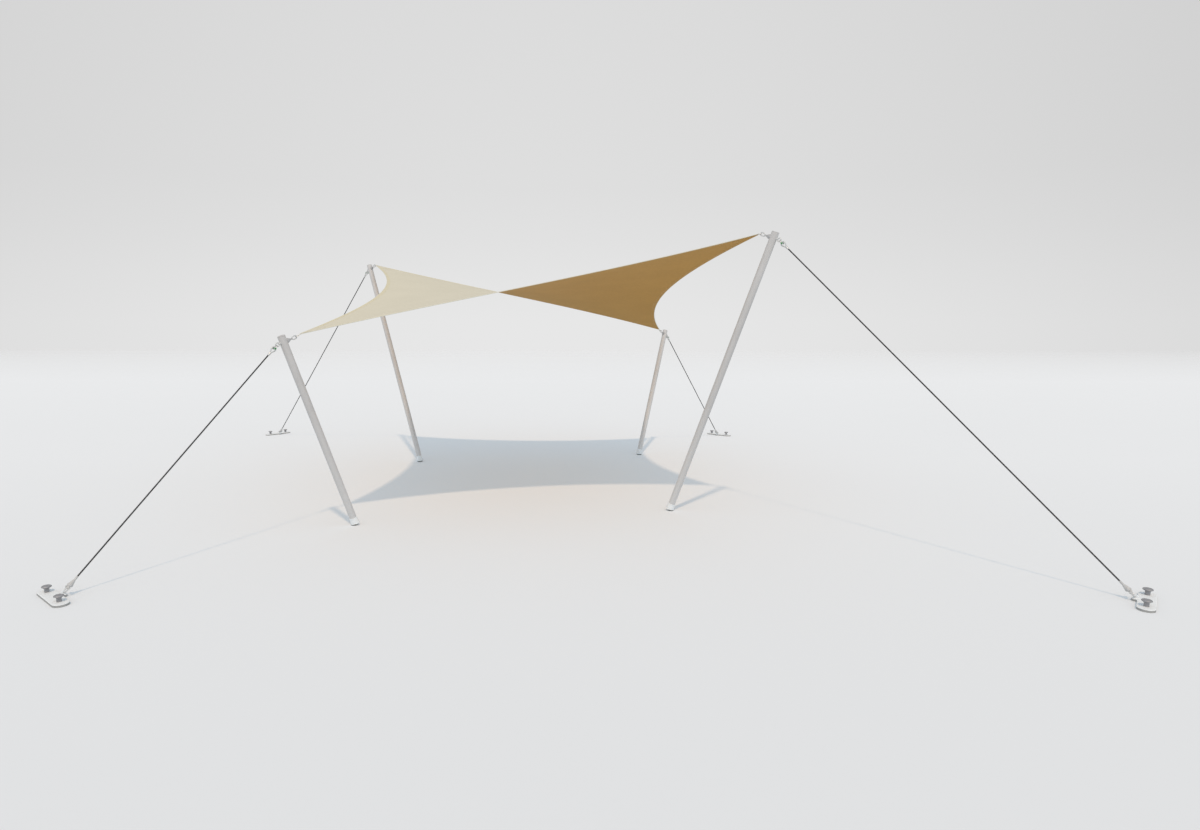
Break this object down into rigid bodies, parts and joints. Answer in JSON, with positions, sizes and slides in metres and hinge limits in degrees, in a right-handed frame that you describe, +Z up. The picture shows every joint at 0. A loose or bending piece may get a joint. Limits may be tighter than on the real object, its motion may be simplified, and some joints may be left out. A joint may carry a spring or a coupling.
{
  "type": "stretch tent",
  "caption": "Saddle-shaped stretch tent: a tensioned fabric membrane between leaning poles, each tied back by a taut rope stay to a pegged ground plate.",
  "frame": {"origin": "on the ground under the middle of the membrane", "axes": "+Z up, +Y horizontal through the two high corners, +X through the two low corners"},
  "size_m": [11.106, 13.37, 3.0962],
  "materials": {
    "canopy": "woven stretch cloth, beige on top and tan underneath",
    "pole": "satin light grey",
    "pole_cap": "moulded grey",
    "foot": "moulded off-white",
    "eye_bolt": "zinc plated",
    "corner_ring": "zinc plated",
    "corner_webbing": "woven webbing",
    "stay_shackle": "galvanised, with a painted pin",
    "stay_thimble": "galvanised",
    "stay_rope": "black sheathed rope",
    "stay_socket": "galvanised",
    "ground_shackle": "galvanised",
    "ground_plate": "off-white paint",
    "peg": "forged mid grey"
  },
  "bodies": {
    "root": {"canopy": "canopy", "foot_low_east": "foot", "pole_low_east": "pole", "pole_cap_low_east": "pole_cap", "eye_bolt_low_east": "eye_bolt", "corner_ring_low_east": "corner_ring", "corner_webbing_low_east": "corner_webbing", "stay_shackle_low_east": "stay_shackle", "stay_thimble_low_east": "stay_thimble", "stay_rope_low_east": "stay_rope", "stay_socket_low_east": "stay_socket", "ground_shackle_low_east": "ground_shackle", "ground_plate_low_east": "ground_plate", "peg_a_low_east": "peg", "peg_b_low_east": "peg", "foot_high_north": "foot", "pole_high_north": "pole", "pole_cap_high_north": "pole_cap", "eye_bolt_high_north": "eye_bolt", "corner_ring_high_north": "corner_ring", "corner_webbing_high_north": "corner_webbing", "stay_shackle_high_north": "stay_shackle", "stay_thimble_high_north": "stay_thimble", "stay_rope_high_north": "stay_rope", "stay_socket_high_north": "stay_socket", "ground_shackle_high_north": "ground_shackle", "ground_plate_high_north": "ground_plate", "peg_a_high_north": "peg", "peg_b_high_north": "peg", "foot_low_west": "foot", "pole_low_west": "pole", "pole_cap_low_west": "pole_cap", "eye_bolt_low_west": "eye_bolt", "corner_ring_low_west": "corner_ring", "corner_webbing_low_west": "corner_webbing", "stay_shackle_low_west": "stay_shackle", "stay_thimble_low_west": "stay_thimble", "stay_rope_low_west": "stay_rope", "stay_socket_low_west": "stay_socket", "ground_shackle_low_west": "ground_shackle", "ground_plate_low_west": "ground_plate", "peg_a_low_west": "peg", "peg_b_low_west": "peg", "foot_high_south": "foot", "pole_high_south": "pole", "pole_cap_high_south": "pole_cap", "eye_bolt_high_south": "eye_bolt", "corner_ring_high_south": "corner_ring", "corner_webbing_high_south": "corner_webbing", "stay_shackle_high_south": "stay_shackle", "stay_thimble_high_south": "stay_thimble", "stay_rope_high_south": "stay_rope", "stay_socket_high_south": "stay_socket", "ground_shackle_high_south": "ground_shackle", "ground_plate_high_south": "ground_plate", "peg_a_high_south": "peg", "peg_b_high_south": "peg"}
  },
  "joints": []
}
